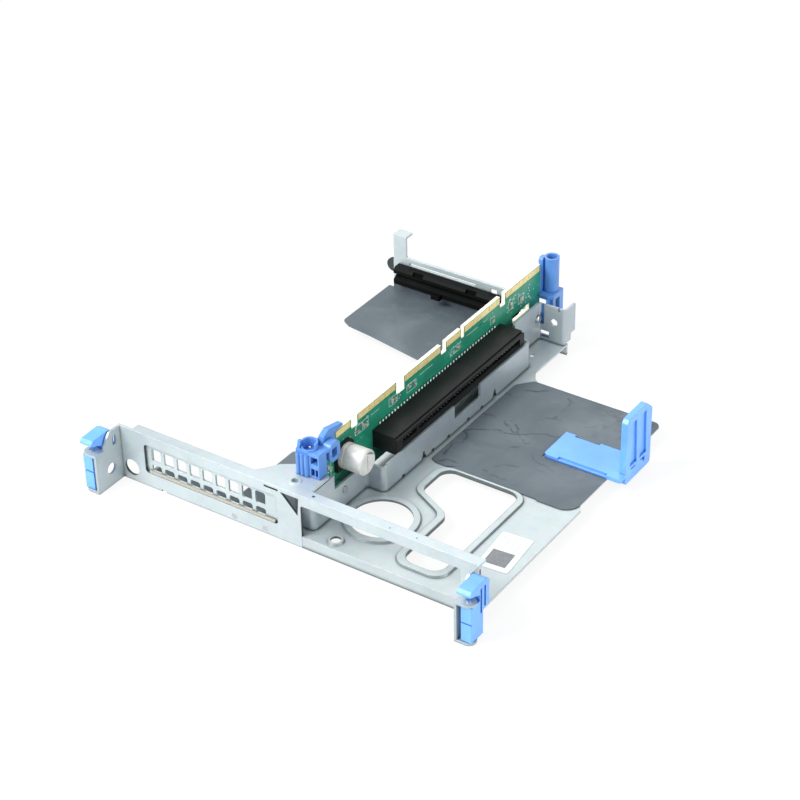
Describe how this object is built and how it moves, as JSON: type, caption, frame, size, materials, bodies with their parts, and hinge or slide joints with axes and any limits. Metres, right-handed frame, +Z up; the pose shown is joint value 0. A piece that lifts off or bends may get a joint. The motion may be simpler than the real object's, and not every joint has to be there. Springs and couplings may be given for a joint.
{
  "type": "server expansion board",
  "caption": "Upright riser board with one long card slot in a folded sheet cage: cut-out tray, rear input wall with window and vented filler, blue end latches and a sliding card support.",
  "frame": {"origin": "on the axis of the small rimmed datum hole of the tray, level with the tray's upper face", "axes": "+X along the rear input wall towards the slot side of the board, +Y along the riser board away from that wall, +Z up out of the tray"},
  "size_m": [0.17, 0.1912, 0.038],
  "materials": {
    "zinc_sheet": "satin zinc-plated sheet with fine grain",
    "board_green": "semi-gloss solder mask",
    "gold_plate": "bright",
    "black_plastic": "matte moulded",
    "tin_plate": "bright tin",
    "aluminium_can": "satin",
    "blue_plastic": "semi-gloss moulded",
    "gasket_fabric": "woven",
    "dark_film": "semi-gloss with scratches",
    "label_paper": "matte",
    "chip_ceramic": "matte",
    "fastener_steel": "satin"
  },
  "bodies": {
    "cage": {"base_tray": "zinc_sheet", "board_bracket": "zinc_sheet", "io_wall": "zinc_sheet", "rear_rail": "zinc_sheet", "blank_filler": "zinc_sheet", "emi_gasket": "gasket_fabric", "riser_board": "board_green", "edge_contacts": "gold_plate", "slot_housing": "black_plastic", "slot_contacts": "tin_plate", "capacitor_can": "aluminium_can", "capacitor_base": "black_plastic", "board_components": "chip_ceramic", "front_guide_clip": "blue_plastic", "rear_guide_post": "blue_plastic", "latch_pivots": "fastener_steel", "card_guide": "black_plastic", "right_insulator": "dark_film", "left_insulator": "dark_film", "corner_insulator": "dark_film", "blank_label": "label_paper", "board_standoffs": "fastener_steel", "board_screws": "fastener_steel", "rivets": "fastener_steel"},
    "latch_left": {"left_latch": "blue_plastic"},
    "latch_right": {"right_latch": "blue_plastic"},
    "support": {"card_support_slider": "blue_plastic"}
  },
  "joints": [
    {"name": "left_latch_hinge", "type": "hinge", "parent": "cage", "child": "latch_left", "pos_m": [-0.0984, -0.0159, 0.0035], "axis": [0, 0, 1], "range_deg": [0, 30]},
    {"name": "right_latch_hinge", "type": "hinge", "parent": "cage", "child": "latch_right", "pos_m": [0.066, -0.0159, 0.0035], "axis": [0, 0, -1], "range_deg": [0, 30]},
    {"name": "support_slide", "type": "slide", "parent": "cage", "child": "support", "axis": [1, 0, 0], "range_m": [0, 0.012]}
  ]
}
